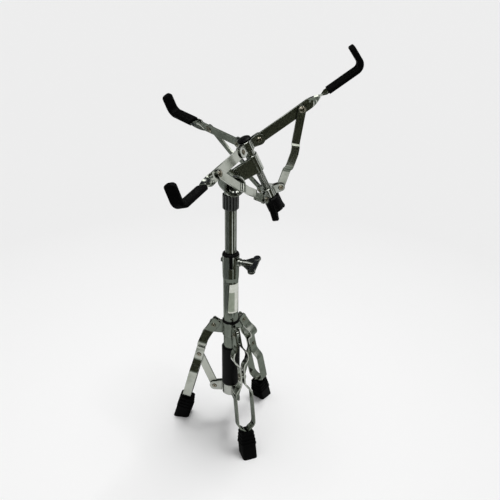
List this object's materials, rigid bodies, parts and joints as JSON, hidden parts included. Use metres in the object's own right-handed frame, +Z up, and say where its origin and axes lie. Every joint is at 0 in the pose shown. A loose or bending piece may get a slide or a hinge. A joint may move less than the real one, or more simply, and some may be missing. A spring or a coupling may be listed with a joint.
{
  "type": "snare drum stand",
  "caption": "Chrome snare drum stand: folding tripod of bowed strap legs, telescoping clamped column, dished tilter and folding basket arms with black grips.",
  "frame": {"origin": "on the floor, on the axis of the column", "axes": "+Z up along the column, -Y towards the front leg, +X towards the raised side of the tilted basket"},
  "size_m": [0.3223, 0.3503, 0.6717],
  "materials": {
    "tube_chrome": "polished",
    "cast_chrome": "polished",
    "screw_chrome": "polished",
    "strap_chrome": "polished",
    "rivet_steel": "satin",
    "bolt_steel": "satin",
    "shaft_steel": "threaded",
    "black_nylon": "moulded",
    "black_rubber": "matte",
    "insert_brass": "plain"
  },
  "bodies": {
    "base": {"base_tube": "tube_chrome", "height_bush": "black_nylon", "clamp_boss": "cast_chrome", "tube_sleeve": "black_nylon", "brace_collar": "cast_chrome", "brace_pivot_rivets": "rivet_steel"},
    "height_bolt": {"height_wing_bolt": "screw_chrome"},
    "collar": {"leg_collar": "cast_chrome", "leg_collar_bush": "black_nylon"},
    "lock_screw": {"leg_lock_screw": "screw_chrome"},
    "upper": {"upper_tube": "tube_chrome"},
    "tilter": {"tilter_base": "cast_chrome", "tilter_collar": "black_nylon", "tilter_bolt": "bolt_steel", "tilter_washer": "bolt_steel"},
    "tilt_nut": {"tilter_wing_nut": "screw_chrome"},
    "head": {"tilter_bracket": "cast_chrome", "basket_shaft": "shaft_steel", "top_hub": "cast_chrome", "top_hub_rivets": "rivet_steel", "hub_cap": "black_nylon"},
    "low_hub": {"low_hub": "cast_chrome", "low_hub_rivets": "rivet_steel"},
    "knob": {"basket_knob": "black_nylon", "knob_insert": "insert_brass"},
    "brace_front": {"brace_front": "strap_chrome"},
    "leg_front": {"leg_front_strap_a": "strap_chrome", "leg_front_strap_b": "strap_chrome", "leg_front_rivets": "rivet_steel", "boot_front": "black_rubber"},
    "brace_right": {"brace_right": "strap_chrome"},
    "leg_right": {"leg_right_strap_a": "strap_chrome", "leg_right_strap_b": "strap_chrome", "leg_right_rivets": "rivet_steel", "boot_right": "black_rubber"},
    "brace_left": {"brace_left": "strap_chrome"},
    "leg_left": {"leg_left_strap_a": "strap_chrome", "leg_left_strap_b": "strap_chrome", "leg_left_rivets": "rivet_steel", "boot_left": "black_rubber"},
    "arm_right": {"arm_right": "strap_chrome", "grip_right": "black_rubber"},
    "link_right": {"link_right": "strap_chrome", "link_right_rivet": "rivet_steel"},
    "arm_back": {"arm_back": "strap_chrome", "grip_back": "black_rubber"},
    "link_back": {"link_back": "strap_chrome", "link_back_rivet": "rivet_steel"},
    "arm_front": {"arm_front": "strap_chrome", "grip_front": "black_rubber"},
    "link_front": {"link_front": "strap_chrome", "link_front_rivet": "rivet_steel"}
  },
  "joints": [
    {"name": "brace_front_hinge", "type": "hinge", "parent": "base", "child": "brace_front", "pos_m": [0, -0.0295, 0.0772], "axis": [1, 0, 0], "range_deg": [-16.6, 19.6]},
    {"name": "leg_front_hinge", "type": "hinge", "parent": "brace_front", "child": "leg_front", "pos_m": [0, -0.0569, 0.14303], "axis": [1, 0, 0], "range_deg": [-39.6, 33.6]},
    {"name": "brace_right_hinge", "type": "hinge", "parent": "base", "child": "brace_right", "pos_m": [0.02555, 0.01475, 0.0772], "axis": [-0.5, 0.866, 0], "range_deg": [-16.8, 19.8]},
    {"name": "leg_right_hinge", "type": "hinge", "parent": "brace_right", "child": "leg_right", "pos_m": [0.04928, 0.02845, 0.14303], "axis": [-0.5, 0.866, 0], "range_deg": [-39.6, 33.6]},
    {"name": "brace_left_hinge", "type": "hinge", "parent": "base", "child": "brace_left", "pos_m": [-0.02555, 0.01475, 0.0772], "axis": [-0.5, -0.866, 0], "range_deg": [-16.8, 19.8]},
    {"name": "leg_left_hinge", "type": "hinge", "parent": "brace_left", "child": "leg_left", "pos_m": [-0.04928, 0.02845, 0.14303], "axis": [-0.5, -0.866, 0], "range_deg": [-39.6, 33.6]},
    {"name": "leg_collar_slide", "type": "slide", "parent": "base", "child": "collar", "axis": [0, 0, 1], "range_m": [-0.01935, 0.01648]},
    {"name": "leg_lock_turn", "type": "hinge", "parent": "collar", "child": "lock_screw", "pos_m": [0.00346, 0.0196, 0.20625], "axis": [0.1736, 0.9848, 0], "continuous": true},
    {"name": "height_bolt_turn", "type": "hinge", "parent": "base", "child": "height_bolt", "pos_m": [0.0167, -0.01401, 0.3345], "axis": [0.766, -0.6428, 0], "continuous": true},
    {"name": "height_slide", "type": "slide", "parent": "base", "child": "upper", "axis": [0, 0, 1], "range_m": [-0.07, 0.09]},
    {"name": "swivel", "type": "hinge", "parent": "upper", "child": "tilter", "pos_m": [0, 0, 0.4455], "axis": [0, 0, 1], "continuous": true},
    {"name": "tilt", "type": "hinge", "parent": "tilter", "child": "head", "pos_m": [0, 0.0131, 0.4705], "axis": [0, 1, 0], "range_deg": [-45, 30]},
    {"name": "tilt_nut_turn", "type": "hinge", "parent": "tilter", "child": "tilt_nut", "pos_m": [0, 0.018, 0.4705], "axis": [0, 1, 0], "continuous": true},
    {"name": "arm_right_hinge", "type": "hinge", "parent": "head", "child": "arm_right", "pos_m": [0.04822, 0.00775, 0.53257], "axis": [-0.2239, -0.9686, -0.1082], "range_deg": [-6, 28]},
    {"name": "link_right_hinge", "type": "hinge", "parent": "low_hub", "child": "link_right", "pos_m": [0.08673, 0.008, 0.45067], "axis": [-0.2239, -0.9686, -0.1082], "range_deg": [-1.8, 7.65]},
    {"name": "arm_back_hinge", "type": "hinge", "parent": "head", "child": "arm_back", "pos_m": [0.02426, 0.03381, 0.52099], "axis": [0.8672, 0.2689, 0.4192], "range_deg": [-6.2, 28.2]},
    {"name": "link_back_hinge", "type": "hinge", "parent": "low_hub", "child": "link_back", "pos_m": [0.06389, 0.03284, 0.43963], "axis": [0.8672, 0.2689, 0.4192], "range_deg": [-1.8, 7.65]},
    {"name": "arm_front_hinge", "type": "hinge", "parent": "head", "child": "arm_front", "pos_m": [0.01592, -0.00226, 0.51696], "axis": [-0.6433, 0.6997, -0.311], "range_deg": [-6.2, 28.2]},
    {"name": "link_front_hinge", "type": "hinge", "parent": "low_hub", "child": "link_front", "pos_m": [0.05594, -0.00155, 0.43579], "axis": [-0.6433, 0.6997, -0.311], "range_deg": [-1.8, 7.65]},
    {"name": "low_hub_slide", "type": "slide", "parent": "head", "child": "low_hub", "axis": [-0.4352, 0, 0.9003], "range_m": [-0.00588, 0.0256]},
    {"name": "knob_turn", "type": "hinge", "parent": "low_hub", "child": "knob", "pos_m": [0.07364, 0.0131, 0.43213], "axis": [-0.4352, 0, 0.9003], "continuous": true}
  ],
  "couplings": [
    {"joint": "leg_front_hinge", "follows": "brace_front_hinge", "ratio": -2},
    {"joint": "brace_right_hinge", "follows": "brace_front_hinge", "ratio": 1},
    {"joint": "leg_right_hinge", "follows": "brace_front_hinge", "ratio": -2},
    {"joint": "brace_left_hinge", "follows": "brace_front_hinge", "ratio": 1},
    {"joint": "leg_left_hinge", "follows": "brace_front_hinge", "ratio": -2},
    {"joint": "leg_collar_slide", "follows": "brace_front_hinge", "m_per_rad": -0.0548},
    {"joint": "link_right_hinge", "follows": "arm_right_hinge", "ratio": 0.266},
    {"joint": "arm_back_hinge", "follows": "arm_right_hinge", "ratio": 1},
    {"joint": "link_back_hinge", "follows": "arm_right_hinge", "ratio": 0.266},
    {"joint": "arm_front_hinge", "follows": "arm_right_hinge", "ratio": 1},
    {"joint": "link_front_hinge", "follows": "arm_right_hinge", "ratio": 0.266},
    {"joint": "low_hub_slide", "follows": "arm_right_hinge", "m_per_rad": 0.05136}
  ]
}
